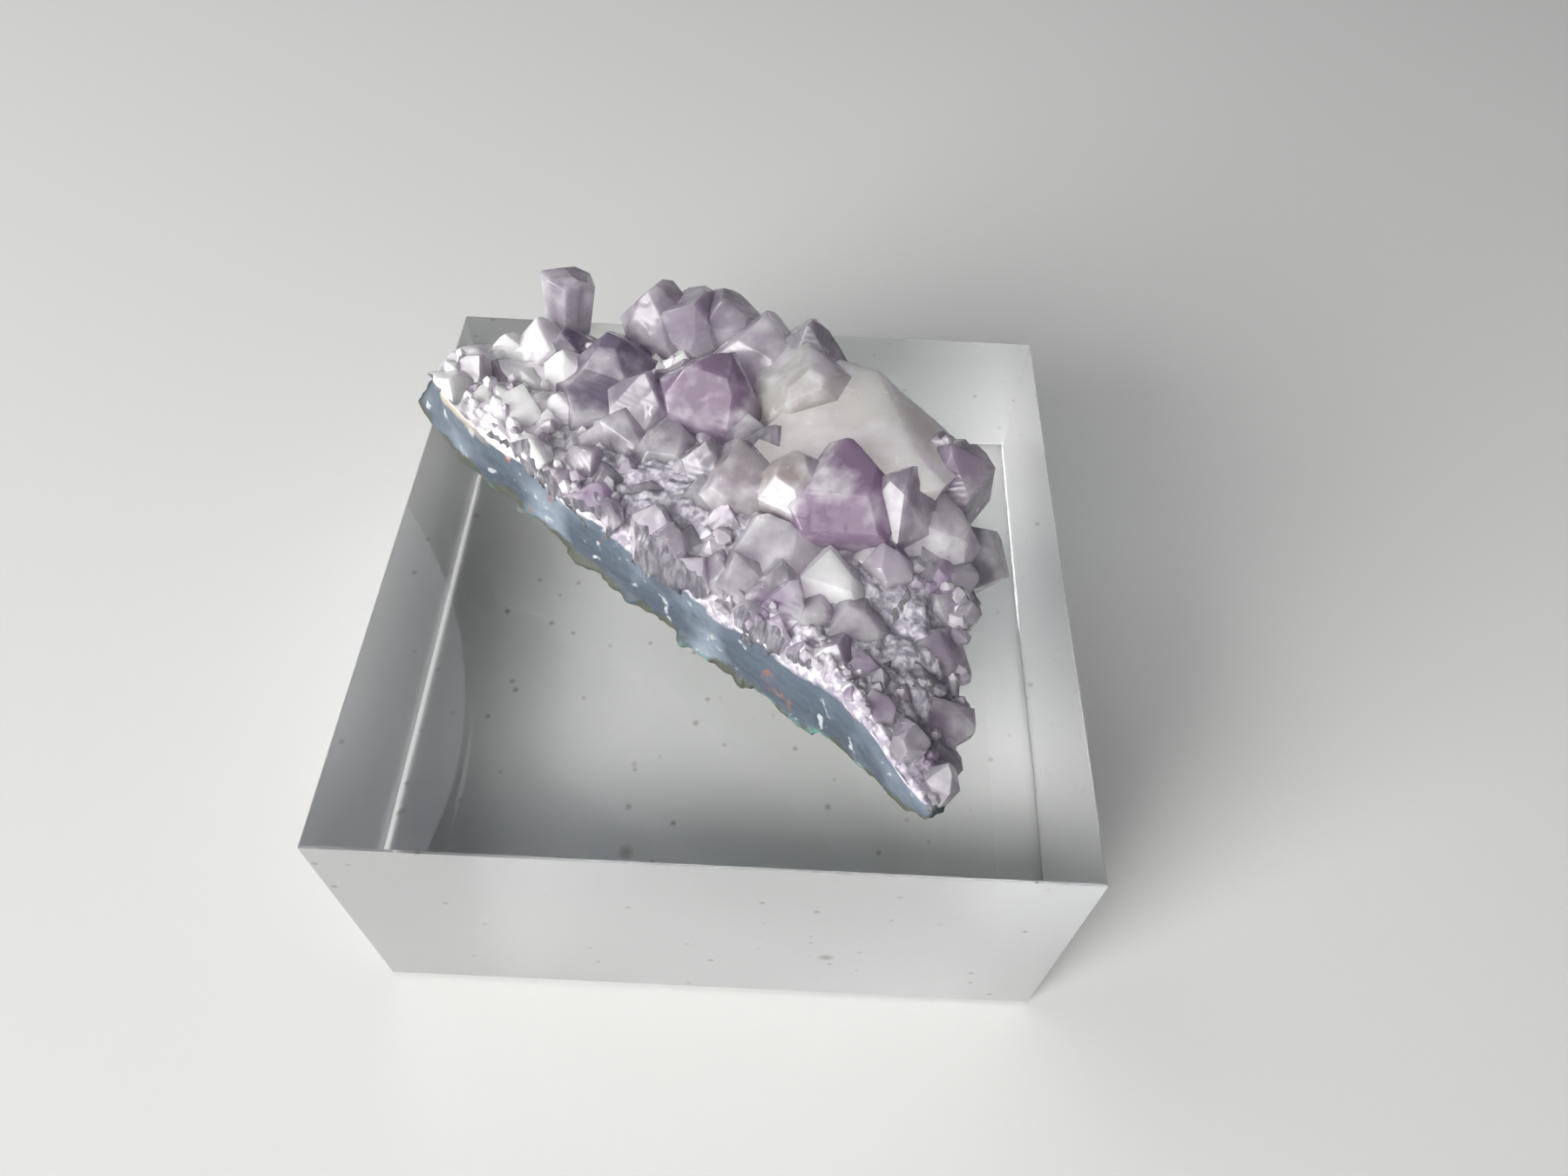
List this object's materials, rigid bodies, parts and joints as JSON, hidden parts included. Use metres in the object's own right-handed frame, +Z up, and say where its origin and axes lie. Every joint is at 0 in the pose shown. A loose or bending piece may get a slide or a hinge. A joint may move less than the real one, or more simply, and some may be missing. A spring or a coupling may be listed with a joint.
{
  "type": "amethyst specimen",
  "caption": "Broken piece of amethyst geode wall, blue-grey chalcedony under pale lilac crystals, lying on a square clear acrylic display block.",
  "frame": {"origin": "middle of the acrylic block's underside", "axes": "+Z up, +X along the block's front edge to the right, +Y from the front of the block to its back"},
  "size_m": [0.0508, 0.0508, 0.0416],
  "materials": {
    "amethyst": "natural crystal faces, glassy to milky, on dull blue-grey chalcedony",
    "clear_acrylic": "clear, polished on all faces"
  },
  "bodies": {
    "root": {"amethyst_cluster": "amethyst", "acrylic_block": "clear_acrylic"}
  },
  "joints": []
}
